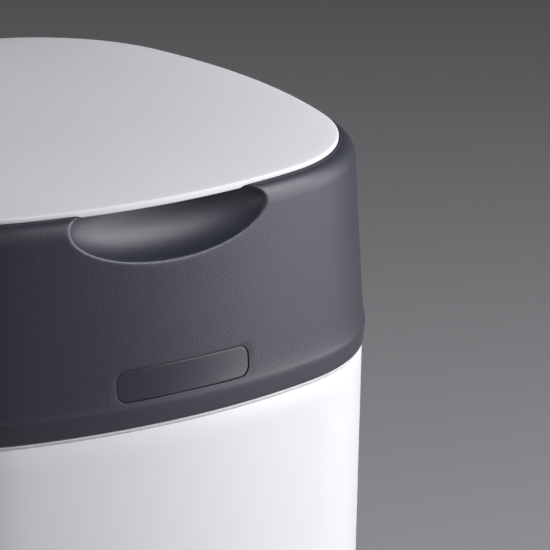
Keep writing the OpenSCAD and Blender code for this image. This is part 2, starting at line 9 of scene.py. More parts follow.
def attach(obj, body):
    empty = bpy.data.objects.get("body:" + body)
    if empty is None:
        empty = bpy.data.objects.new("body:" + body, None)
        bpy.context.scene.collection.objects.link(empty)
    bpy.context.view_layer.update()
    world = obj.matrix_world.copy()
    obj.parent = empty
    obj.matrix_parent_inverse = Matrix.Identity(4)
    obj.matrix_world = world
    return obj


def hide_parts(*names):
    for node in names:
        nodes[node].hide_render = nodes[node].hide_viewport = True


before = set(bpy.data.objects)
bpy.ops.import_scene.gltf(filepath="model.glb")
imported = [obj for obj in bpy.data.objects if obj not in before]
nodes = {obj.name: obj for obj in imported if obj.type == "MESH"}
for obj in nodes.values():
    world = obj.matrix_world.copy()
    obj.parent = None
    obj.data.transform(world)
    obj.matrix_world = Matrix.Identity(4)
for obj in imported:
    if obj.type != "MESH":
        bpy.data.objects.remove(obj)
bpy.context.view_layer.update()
print("frame loaded,", len(nodes), "nodes")

mm = 0.001
lidEdge = 461.0  # height of the lid's top edge in mm; depths are measured down from it


def up(depth):
    return lidEdge - depth


# Shader expressions: an output socket that takes part in plain sums

class Term:
    def __init__(self, tree, socket):
        self.tree = tree
        self.socket = socket

    def maths(self, operation, *values):
        node = self.tree.nodes.new("ShaderNodeMath")
        node.operation = operation
        for place, value in zip(node.inputs, values):
            if isinstance(value, Term):
                self.tree.links.new(value.socket, place)
            else:
                place.default_value = value
        return Term(self.tree, node.outputs[0])

    def __add__(self, other):
        return self.maths("ADD", self, other)

    def __radd__(self, other):
        return self.maths("ADD", other, self)

    def __sub__(self, other):
        return self.maths("SUBTRACT", self, other)

    def __rsub__(self, other):
        return self.maths("SUBTRACT", other, self)

    def __mul__(self, other):
        return self.maths("MULTIPLY", self, other)

    def __rmul__(self, other):
        return self.maths("MULTIPLY", other, self)

    def clamped(self):
        return self.maths("MINIMUM", self.maths("MAXIMUM", self, 0.0), 1.0)


class Finish:
    def __init__(self, name, world=None):
        self.owner = world or bpy.data.materials.new(name)
        self.owner.use_nodes = True
        self.tree = self.owner.node_tree
        self.tree.nodes.clear()
        self.output = self.tree.nodes.new("ShaderNodeOutputWorld" if world else "ShaderNodeOutputMaterial")

    def node(self, kind, settings=None, inputs=None, out=0):
        node = self.tree.nodes.new(kind)
        for key, value in (settings or {}).items():
            setattr(node, key, value)
        for key, value in (inputs or {}).items():
            if isinstance(value, Term):
                self.tree.links.new(value.socket, node.inputs[key])
            else:
                node.inputs[key].default_value = value
        return Term(self.tree, node.outputs[out])

    def place(self):
        return self.node("ShaderNodeTexCoord", out="Object")

    def noise(self, scale, detail=2.0, rough=0.5, where=None):
        return self.node("ShaderNodeTexNoise", {}, {
            "Vector": where or self.place(), "Scale": scale, "Detail": detail, "Roughness": rough})

    def blend(self, factor, first, second):
        colours = {0: factor, 6: (*first, 1.0), 7: (*second, 1.0)}
        return self.node("ShaderNodeMix", {"data_type": "RGBA"}, colours, out=2)

    def shade(self, inputs):
        shader = self.node("ShaderNodeBsdfPrincipled", {}, inputs)
        self.tree.links.new(shader.socket, self.output.inputs["Surface"])
        return self.owner


# Moulded plastic: two close colours mixed by a soft cloud and a fine grain, which is raised too.
# tone sets how much of the mix follows the grain, waveDepth adds a long soft wave; sizes are in metres.
moulding = {"cloudSize": 0.05, "waveScale": 90.0, "mixStart": 0.32, "mixGain": 2.6, "coatRough": 0.1}


def plastic(name, colour, other, rough, grainSize, grainDepth, roughSpread=0.08, waveDepth=0.0,
            coat=0.0, specular=0.5, tone=0.5):
    finish = Finish(name)
    where = finish.place()
    cloud = finish.noise(1 / moulding["cloudSize"], detail=3.0, rough=0.55, where=where)
    grain = finish.noise(1 / grainSize, detail=3.0, rough=0.6, where=where)
    height = grain * grainDepth
    if waveDepth:
        wave = finish.noise(moulding["waveScale"], detail=1.0, rough=0.4, where=where)
        height = height + wave * waveDepth
    bump = finish.node("ShaderNodeBump", {}, {"Strength": 1.0, "Distance": 1.0, "Height": height})
    mask = (cloud * (1 - tone) + grain * tone - moulding["mixStart"]) * moulding["mixGain"]
    return finish.shade({
        "Base Color": finish.blend(mask.clamped(), colour, other),
        "Roughness": (rough - roughSpread + grain * roughSpread * 2).clamped(),
        "Normal": bump,
        "Coat Weight": coat, "Coat Roughness": moulding["coatRough"],
        "Specular IOR Level": specular})


def paint(thing, material):
    thing.data.materials.clear()
    thing.data.materials.append(material)
    return thing


finishes = {
    "bodyWhite": plastic("bodyWhite", (0.805, 0.80, 0.795), (0.825, 0.82, 0.815), 0.34, 0.012, 0.0, roughSpread=0.008,
                         waveDepth=0.000004, tone=0.0),
    "lidWhite": plastic("lidWhite", (0.805, 0.80, 0.795), (0.825, 0.82, 0.815), 0.55, 0.012, 0.0, roughSpread=0.008,
                        waveDepth=0.000004, specular=0.12, tone=0.0),
    "collarGrey": plastic("collarGrey", (0.0176, 0.0200, 0.0305), (0.0234, 0.0265, 0.0405), 0.46, 0.0007, 0.000078,
                          roughSpread=0.06, tone=0.75, specular=0.7),
    "badgeGrey": plastic("badgeGrey", (0.0180, 0.0205, 0.031), (0.0220, 0.0255, 0.038), 0.33, 0.008, 0.0,
                         roughSpread=0.02, specular=0.7, tone=0.0),
    "innerGrey": plastic("innerGrey", (0.46, 0.47, 0.49), (0.53, 0.54, 0.56), 0.48, 0.0009, 0.00002),
    "innerWhite": plastic("innerWhite", (0.72, 0.73, 0.74), (0.78, 0.79, 0.80), 0.40, 0.0009, 0.000012),
    "accentBlue": plastic("accentBlue", (0.030, 0.20, 0.42), (0.045, 0.26, 0.50), 0.34, 0.0009, 0.000010),
    "cassetteBlue": plastic("cassetteBlue", (0.22, 0.47, 0.66), (0.28, 0.54, 0.72), 0.38, 0.0009, 0.000010),
    "film": plastic("film", (0.66, 0.74, 0.78), (0.78, 0.84, 0.87), 0.26, 0.0016, 0.00008, coat=0.4),
    "rubber": plastic("rubber", (0.030, 0.032, 0.036), (0.055, 0.057, 0.062), 0.72, 0.0005, 0.00004),
    "orange": plastic("orange", (0.72, 0.20, 0.03), (0.80, 0.26, 0.05), 0.36, 0.0009, 0.000010),
}


# Turned or ground steel: fine scratches along one way, over a smudged tone
grinding = {"smudgeScale": 160.0, "smudgeTone": 0.8, "scratchDepth": 0.00001, "scratchShare": 0.4,
            "roughSpread": 0.08}


def steel(name, colour, rough, stretch):
    finish = Finish(name)
    where = finish.node("ShaderNodeMapping", {}, {"Vector": finish.place(), "Scale": stretch})
    lines = finish.noise(1.0, detail=3.0, rough=0.6, where=where)
    smudge = finish.noise(grinding["smudgeScale"])
    bump = finish.node("ShaderNodeBump", {}, {
        "Strength": grinding["scratchShare"], "Distance": grinding["scratchDepth"], "Height": lines})
    darker = tuple(c * grinding["smudgeTone"] for c in colour)
    spread = grinding["roughSpread"]
    return finish.shade({
        "Base Color": finish.blend(smudge, darker, colour),
        "Roughness": (rough - spread + lines * (spread * 2)).clamped(),
        "Normal": bump, "Metallic": 1.0})


finishes["pinSteel"] = steel("pinSteel", (0.62, 0.62, 0.63), 0.30, (600.0, 4000.0, 4000.0))
finishes["bladeSteel"] = steel("bladeSteel", (0.72, 0.72, 0.73), 0.22, (3000.0, 3000.0, 400.0))
print("finishes made:", len(finishes))


# Plan outline for a half width of one: bowed sides and corner arcs that meet in tangent

plan = {"bow": 2.1, "corner": 0.6, "frontSteps": 64, "sideSteps": 30, "cornerSteps": 22}
bowShift = plan["bow"] - 1
cornerAt = (-bowShift + math.sqrt(2 * (plan["bow"] - plan["corner"]) ** 2 - bowShift ** 2)) / 2
bowAngle = math.atan2(cornerAt, cornerAt + bowShift)
sideHalf = plan["bow"] * math.sin(bowAngle)


def frontY(q):
    return bowShift - math.sqrt(plan["bow"] ** 2 - q * q)


def makeOutline():
    points = []
    for side in range(4):
        steps = plan["frontSteps"] if side == 0 else plan["sideSteps"]
        turn = Matrix.Rotation(side * math.pi / 2, 2)
        row = []
        for i in range(steps):
            q = sideHalf * (2 * i / steps - 1)
            row.append((q, frontY(q)))
        for i in range(plan["cornerSteps"]):
            angle = -math.pi / 2 + bowAngle + (math.pi / 2 - 2 * bowAngle) * i / plan["cornerSteps"]
            row.append((cornerAt + plan["corner"] * math.cos(angle), -cornerAt + plan["corner"] * math.sin(angle)))
        points += [turn @ Vector(p) for p in row]
    return np.array([tuple(p) for p in points])


square = makeOutline()
around = np.arctan2(square[:, 1], square[:, 0])
disc = np.stack([np.cos(around), np.sin(around)], 1)  # circle whose points face the outline's


def circle(steps):
    return np.array([(math.cos(math.tau * i / steps), math.sin(math.tau * i / steps)) for i in range(steps)])


def loop(shape, size, z):
    return [(x * size, y * size, z) for x, y in shape]


class Sheets:
    def __init__(self):
        self.points = []
        self.faces = []

    def add(self, row):
        first = len(self.points)
        self.points += [tuple(p) for p in row]
        return list(range(first, first + len(row)))

    def grid(self, rows, closed=False, skip=None):
        ids = [self.add(row) for row in rows]
        count = len(ids[0])
        for r in range(len(ids) - 1):
            for c in range(count if closed else count - 1):
                if skip and skip(r, c):
                    continue
                d = (c + 1) % count
                self.faces.append((ids[r][c], ids[r][d], ids[r + 1][d], ids[r + 1][c]))
        return self

    def stitch(self, first, second):  # triangles between two lines with different points
        a, b = self.add(first), self.add(second)
        i = j = 0
        while i < len(a) - 1 or j < len(b) - 1:
            stepFirst = j == len(b) - 1 or (i < len(a) - 1 and first[i + 1][0] <= second[j + 1][0])
            if stepFirst:
                self.faces.append((a[i], a[i + 1], b[j]))
                i += 1
            else:
                self.faces.append((a[i], b[j + 1], b[j]))
                j += 1

    def cap(self, row, point):
        ids = self.add(row)
        middle = self.add([point])[0]
        for i in range(len(ids)):
            self.faces.append((ids[i], ids[(i + 1) % len(ids)], middle))

    def make(self, name, sharp=32.0):
        mesh = bpy.data.meshes.new(name)
        mesh.from_pydata([(x * mm, y * mm, z * mm) for x, y, z in self.points], [], self.faces)
        bm = bmesh.new()
        bm.from_mesh(mesh)
        bmesh.ops.remove_doubles(bm, verts=bm.verts, dist=0.002 * mm)
        bmesh.ops.dissolve_degenerate(bm, edges=bm.edges, dist=0.0005 * mm)
        bmesh.ops.recalc_face_normals(bm, faces=bm.faces)
        bm.to_mesh(mesh)
        bm.free()
        thing = bpy.data.objects.new(name, mesh)
        bpy.context.scene.collection.objects.link(thing)
        return smooth(thing, sharp)


def smooth(thing, sharp=32.0):
    thing.data.polygons.foreach_set("use_smooth", [True] * len(thing.data.polygons))
    thing.data.set_sharp_from_angle(angle=math.radians(sharp))
    return thing


# Round off a closed profile of (size, height) points; a third value is a corner's own reach
def rounded(profile, radius):
    result = []
    count = len(profile)
    for i, corner in enumerate(profile):
        here = np.array(corner[:2], float)
        before = np.array(profile[i - 1][:2], float) - here
        after = np.array(profile[(i + 1) % count][:2], float) - here
        own = corner[2] if len(corner) > 2 else radius
        reach = min(own, np.linalg.norm(before) * 0.45, np.linalg.norm(after) * 0.45)
        start = here + before / np.linalg.norm(before) * reach
        end = here + after / np.linalg.norm(after) * reach
        for t in (0, 1 / 3, 2 / 3, 1):
            result.append(tuple((1 - t) ** 2 * start + 2 * t * (1 - t) * here + t * t * end))
    return result


def swept(sheets, shape, profile, radius):
    line = rounded(profile, radius)
    line.append(line[0])
    sheets.grid([loop(shape, size, z) for size, z in line], closed=True)
    return sheets


def cut(thing, *tools):
    bpy.context.view_layer.objects.active = thing
    for tool in tools:
        change = thing.modifiers.new("cut", "BOOLEAN")
        change.object = tool
        change.operation = "DIFFERENCE"
        change.solver = "EXACT"
        with bpy.context.temp_override(object=thing, active_object=thing):
            bpy.ops.object.modifier_apply(modifier=change.name)
    return thing


def drop(*things):
    for thing in things:
        bpy.data.objects.remove(thing, do_unlink=True)


def join(name, things, sharp=32.0):
    main = things[0]
    bm = bmesh.new()
    for thing in things:
        bm.from_mesh(thing.data)
    bm.to_mesh(main.data)
    bm.free()
    drop(*things[1:])
    main.name = name
    return smooth(main, sharp)


# Flat shape pulled along x or z, its sharp edges rounded unless edge is 0
def pulled(name, shape, start, end, axis, edge, steps=3):
    def placed(p, t):
        if axis == "x":
            return (t * mm, p[0] * mm, p[1] * mm)
        return (p[0] * mm, p[1] * mm, t * mm)

    bm = bmesh.new()
    low = [bm.verts.new(placed(p, start)) for p in shape]
    high = [bm.verts.new(placed(p, end)) for p in shape]
    bm.faces.new(low)
    bm.faces.new(high)
    for i in range(len(shape)):
        j = (i + 1) % len(shape)
        bm.faces.new((low[i], low[j], high[j], high[i]))
    bmesh.ops.recalc_face_normals(bm, faces=bm.faces)
    if edge:
        sharpEdges = [e for e in bm.edges if len(e.link_faces) == 2 and e.calc_face_angle() > math.radians(25)]
        bmesh.ops.bevel(bm, geom=sharpEdges, offset=edge * mm, segments=steps, profile=0.5, affect="EDGES",
                        clamp_overlap=True)
    mesh = bpy.data.meshes.new(name)
    bm.to_mesh(mesh)
    bm.free()
    thing = bpy.data.objects.new(name, mesh)
    bpy.context.scene.collection.objects.link(thing)
    return smooth(thing)


def arcPoints(x, y, radius, start, end, steps):
    angles = [math.radians(start + (end - start) * i / steps) for i in range(steps + 1)]
    return [(x + radius * math.cos(a), y + radius * math.sin(a)) for a in angles]


# Camera: a long lens from the front left, looking down on the collar

camera = {"spot": (-0.6724, -1.1142, 0.8284), "yaw": 35.667, "pitch": 18.2015, "roll": 0.8458, "lens": 235.6}
yaw, pitch, roll = (math.radians(camera[k]) for k in ("yaw", "pitch", "roll"))
ahead = Vector((math.sin(yaw) * math.cos(pitch), math.cos(yaw) * math.cos(pitch), -math.sin(pitch)))
level = Vector((math.cos(yaw), -math.sin(yaw), 0.0))
upright = level.cross(ahead)
sideways = level * math.cos(roll) + upright * math.sin(roll)
upwards = -level * math.sin(roll) + upright * math.cos(roll)
cameraData = bpy.data.cameras.new("camera")
cameraData.lens = camera["lens"]
cameraData.sensor_width = 36.0
cameraData.clip_end = 50.0
cameraObject = bpy.data.objects.new("camera", cameraData)
cameraObject.matrix_world = Matrix((
    (sideways.x, upwards.x, -ahead.x, camera["spot"][0]),
    (sideways.y, upwards.y, -ahead.y, camera["spot"][1]),
    (sideways.z, upwards.z, -ahead.z, camera["spot"][2]),
    (0, 0, 0, 1)))
bpy.context.scene.collection.objects.link(cameraObject)
bpy.context.scene.camera = cameraObject
bpy.context.scene.view_settings.view_transform = "Standard"


# Studio: a pale floor, four soft lamps at the front right, one at the front left and one behind.
# Each lamp has its place and size in metres and its power in watts.

studio = {
    "floorTone": 0.55, "floorSize": 9.0, "floorRough": 0.9, "backTone": 0.12, "ambient": 0.04,
    "mottleScale": 3.0, "mottleDark": 0.98, "mottleBlue": 1.01, "mottleRough": 0.05,
    "lampTint": (0.955, 0.94, 1.0), "aimHeight": 0.35,
    "lamps": [((0.48, -0.46, 0.92), (0.4, 0.4), 5.0),  # small, near and high
              ((1.7, -0.8, 0.62), (1.5, 1.1), 17.0),  # the largest, far to the right
              ((0.9, -0.9, 0.8), (0.9, 0.9), 3.2),
              ((1.1, -1.1, 0.25), (0.4, 0.35), 2.1),  # low, level with the tub
              ((-0.9, -0.9, 0.9), (1.1, 1.1), 3.3),  # front left
              ((-0.7, 1.5, 0.8), (1.0, 1.0), 6.5)],  # behind
}


def makeStudio():
    bpy.ops.mesh.primitive_circle_add(vertices=96, radius=studio["floorSize"], fill_type="NGON", location=(0, 0, 0))
    floor = bpy.context.object
    floor.name = "floor"
    finish = Finish("floor")
    mottle = finish.noise(studio["mottleScale"], detail=4.0, rough=0.6)
    tone = studio["floorTone"]
    dark, pale = (tone * studio["mottleDark"],) * 3, (tone, tone, tone * studio["mottleBlue"])
    paint(floor, finish.shade({
        "Base Color": finish.blend(mottle, dark, pale),
        "Roughness": studio["floorRough"] - mottle * studio["mottleRough"]}))
    for i, (spot, size, power) in enumerate(studio["lamps"]):
        lamp = bpy.data.lights.new("softbox%d" % i, "AREA")
        lamp.shape = "RECTANGLE"
        lamp.size, lamp.size_y = size
        lamp.energy = power
        lamp.color = studio["lampTint"]
        thing = bpy.data.objects.new(lamp.name, lamp)
        thing.location = spot
        aim = Vector((0, 0, studio["aimHeight"])) - Vector(spot)
        thing.rotation_euler = aim.to_track_quat("-Z", "Y").to_euler()
        thing.visible_camera = False
        bpy.context.scene.collection.objects.link(thing)
    world = bpy.data.worlds.new("studio")
    bpy.context.scene.world = world
    sky = Finish("studio", world)
    kinds = ("Camera", "Glossy", "Transmission")
    rays = [sky.node("ShaderNodeLightPath", out="Is %s Ray" % kind) for kind in kinds]
    lit = sky.node("ShaderNodeBackground", {}, {"Color": (0.97, 0.98, 1.0, 1.0), "Strength": studio["ambient"]})
    seen = sky.node("ShaderNodeBackground", {}, {"Color": (studio["backTone"],) * 3 + (1.0,)})
    mix = sky.node("ShaderNodeMixShader", {}, {0: (rays[0] + rays[1] + rays[2]).clamped(), 1: lit, 2: seen})
    sky.tree.links.new(mix.socket, sky.output.inputs["Surface"])


makeStudio()
print("studio ready")


# Collar: an outer skin with a finger scoop and a badge pocket, a seat for the lid and an inner wall

collar = {
    "wallLine": [(9.4, 121.0), (31.8, 122.3), (51.8, 123.55), (63.3, 124.26), (67.3, 124.58), (70.2, 124.95),
                 (71.8, 125.4)],
    "footDepth": 79.2, "footSize": 124.9, "footRound": 0.4, "flareEnd": 71.0,
    "shoulderIn": 5.3, "shoulderHigh": 7.5, "shoulderSize": 115.7, "rise": 1.9,
    "seatSize": 115.4, "seatDepth": 2.7, "seatRound": 0.3,
    "flangeSize": 103.0, "flangeBase": 5.1, "wall": 2.6,
    "scoopCentre": (-2.6, -121.04, 456.0), "scoopAxes": (42.5, 15.5, 15.5), "scoopWall": 2.0, "scoopRound": 1.5,
    "scoopColumns": 25, "scoopRows": 27.0, "badgeColumns": 18, "badgeBlock": (55.6, 70.15),
    "badgeSize": (56.0, 11.4), "badgeCorner": 3.8, "badgeDepth": 63.8, "badgeGap": 0.15,
    "pocket": 1.2, "pocketRound": 0.3, "shoulderTurn": 86, "edgeEnd": 0.5, "shoulderEnd": 8.5, "creaseSpan": 1.5,
    "rowGaps": {"edge": 0.12, "shoulder": 0.55, "scoop": 1.0, "wall": 2.6, "badge": 0.7, "crease": 0.25, "foot": 1.3},
    "innerDepths": [7, 9, 11, 13, 15, 17, 19, 21, 23, 26, 32, 40, 48, 56, 63, 71.8, 76, 78.9],
    "pushFrom": -80,  # only the inner wall in front of this is pushed in behind the scoop
}


def makeSkinLine():
    c = collar
    line = []
    for i in range(13):  # rounded edge of the seat
        a = math.pi / 2 * i / 12
        line.append((c["rise"] + c["seatRound"] * (1 - math.sin(a)),
                     c["seatSize"] + c["seatRound"] * (1 - math.cos(a))))
    for i in range(61):
        a = math.radians(c["shoulderTurn"]) * i / 60
        line.append((c["rise"] + c["shoulderHigh"] * (1 - math.cos(a)),
                     c["shoulderSize"] + c["shoulderIn"] * math.sin(a)))
    depths = np.linspace(c["wallLine"][0][0], c["flareEnd"], 900)
    known = np.array(c["wallLine"])
    raw = np.interp(depths, known[:, 0], known[:, 1])
    reach = 16  # half window of the smoothing, in samples
    ends = np.concatenate([raw[0] - (raw[reach] - raw[0]) * np.arange(reach, 0, -1) / reach, raw,
                           raw[-1] + (raw[-1] - raw[-1 - reach]) * np.arange(1, reach + 1) / reach])
    soft = np.convolve(ends, np.ones(2 * reach + 1) / (2 * reach + 1), "valid")
    line += list(zip(depths, soft))
    crease = c["wallLine"][-1]
    slope = (c["footSize"] - crease[1]) / (c["footDepth"] - crease[0])
    start = np.array((c["flareEnd"], soft[-1]))
    end = np.array((crease[0] + 0.9, crease[1] + slope * 0.9))
    middle = np.array(crease)
    for i in range(1, 13):
        t = i / 12
        line.append(tuple((1 - t) ** 2 * start + 2 * t * (1 - t) * middle + t * t * end))
    for i in range(1, 41):
        d = end[0] + (c["footDepth"] - c["footRound"] - end[0]) * i / 40
        line.append((d, crease[1] + slope * (d - crease[0])))
    size = line[-1][1]
    for i in range(1, 9):
        a = math.pi / 2 * i / 8
        line.append((c["footDepth"] - c["footRound"] * (1 - math.sin(a)),
                     size - c["footRound"] * (1 - math.cos(a))))
    return np.array(line)


skinLine = makeSkinLine()
skinRun = np.concatenate([[0.0], np.cumsum(np.linalg.norm(np.diff(skinLine, axis=0), axis=1))])
fallFrom = 20  # the line's points from here on only go down


def skinSize(run):
    return float(np.interp(run, skinRun, skinLine[:, 1]))


def skinDepth(run):
    return float(np.interp(run, skinRun, skinLine[:, 0]))


def sizeAtDepth(depth):
    return float(np.interp(depth, skinLine[fallFrom:, 0], skinLine[fallFrom:, 1]))


def runAtDepth(depth):
    return float(np.interp(depth, skinLine[fallFrom:, 0], skinRun[fallFrom:]))


def skinPoint(q, run, inset=0.0):
    size = skinSize(run)
    return np.array((q * size, frontY(q) * size + inset, up(skinDepth(run))))


def spaced(start, end, step):
    count = max(1, round((end - start) / step))
    return [start + (end - start) * i / count for i in range(count)]


# Lines from a middle out to the edge of a block of the skin, and where each leaves the opening
def openingEdge(middle, block, inside):
    edge = []
    for q, run in block:
        low, high = 0.0, 1.0
        for _ in range(40):
            half = (low + high) / 2
            if inside(middle[0] + (q - middle[0]) * half, middle[1] + (run - middle[1]) * half):
                low = half
            else:
                high = half
        edge.append((middle[0] + (q - middle[0]) * low, middle[1] + (run - middle[1]) * low))
    return edge


def bent(first, corner, last, steps):
    shares = [k / steps for k in range(steps + 1)]
    return [(1 - t) ** 2 * first + 2 * t * (1 - t) * corner + t * t * last for t in shares]


def scoopPatch(sheets, block):
    c = collar
    centre, axes = np.array(c["scoopCentre"]), np.array(c["scoopAxes"])

    def onBall(point):
        return (point - centre) / axes

    edge = openingEdge((0.0, 0.0), block, lambda q, run: np.linalg.norm(onBall(skinPoint(q, run))) < 1)
    lift = (up(c["seatDepth"]) - centre[2]) / axes[2]
    flat = math.sqrt(1 - lift * lift)

    def backPoint(angle):
        return np.array((flat * math.sin(angle), flat * math.cos(angle), lift))

    def sideOf(side, spot):  # angle where the scoop meets the seat's edge, and the turn of its last line
        low, high = 0.0, math.pi / 2
        for _ in range(40):
            half = (low + high) / 2
            point = centre + backPoint(side * half) * axes
            if point[1] > frontY(point[0] / c["seatSize"]) * c["seatSize"]:
                low = half
            else:
                high = half
        return side * low, turnOf(onBall(skinPoint(*spot)))

    def turnOf(ray):
        return math.atan2(ray[0], -ray[2])

    left, right = sideOf(-1, edge[0]), sideOf(1, edge[-1])
    columns = []
    outSteps = [1.0, 0.62, 0.36, 0.18, 0.07]
    for (q, run), (edgeQ, edgeRun) in zip(block, edge):
        corner = skinPoint(edgeQ, edgeRun)
        outer = skinPoint(q, run)
        near = c["scoopRound"] / np.linalg.norm(outer - corner)
        column = [skinPoint(edgeQ + (q - edgeQ) * t, edgeRun + (run - edgeRun) * t)
                  for t in outSteps if t > near * 1.2]
        rimPoint = skinPoint(edgeQ + (q - edgeQ) * near, edgeRun + (run - edgeRun) * near)
        start = onBall(corner)
        start /= np.linalg.norm(start)
        turn = turnOf(start)
        backAngle, lastTurn = left if turn < 0 else right
        end = backPoint(backAngle * turn / lastTurn)
        angle = math.acos(max(-1.0, min(1.0, float(start @ end))))

        def along(t):
            return centre + (start * math.sin((1 - t) * angle) + end * math.sin(t * angle)) / math.sin(angle) * axes

        length = sum(np.linalg.norm(along((k + 1) / 12) - along(k / 12)) for k in range(12))
        deep = min(0.7, c["scoopRound"] / length)
        column += bent(rimPoint, corner, along(deep), 5)
        column += [along(deep + (1 - deep) * k / 16) for k in range(1, 17)]
        columns.append(column)
    rows = [list(row) for row in zip(*columns)]
    sheets.grid(rows)
    return rows


def badgeLoop(grow):
    halfW, halfH = collar["badgeSize"][0] / 2 + grow, collar["badgeSize"][1] / 2 + grow
    return halfW, halfH, collar["badgeCorner"] + grow


def inBadge(q, run, grow):
    x = abs(q * skinSize(run))
    z = abs(skinDepth(run) - collar["badgeDepth"])
    halfW, halfH, corner = badgeLoop(grow)
    if x > halfW or z > halfH:
        return False
    dx, dz = x - (halfW - corner), z - (halfH - corner)
    return not (dx > 0 and dz > 0 and dx * dx + dz * dz > corner * corner)


def badgePocket(sheets, block):
    c = collar
    middle = (0.0, runAtDepth(c["badgeDepth"]))
    edge = openingEdge(middle, block, lambda q, run: inBadge(q, run, c["badgeGap"]))
    columns = []
    for (q, run), (edgeQ, edgeRun) in zip(block, edge):
        corner = skinPoint(edgeQ, edgeRun)
        near = c["pocketRound"] / max(0.5, np.linalg.norm(skinPoint(q, run) - corner))
        column = [skinPoint(edgeQ + (q - edgeQ) * t, edgeRun + (run - edgeRun) * t) for t in (1.0, 0.7, 0.5)]
        rimPoint = skinPoint(edgeQ + (q - edgeQ) * near, edgeRun + (run - edgeRun) * near)
        wallPoint = skinPoint(edgeQ, edgeRun, c["pocketRound"])
        column += bent(rimPoint, corner, wallPoint, 4)
        column += [skinPoint(edgeQ, edgeRun, c["pocket"])]
        for t in (0.8, 0.5, 0.2):
            column.append(skinPoint(edgeQ * t, middle[1] + (edgeRun - middle[1]) * t, c["pocket"]))
        columns.append(column)
    rows = [list(row) for row in zip(*columns)]
    sheets.grid(rows, closed=True)
    sheets.cap(rows[-1], skinPoint(0.0, middle[1], c["pocket"]))


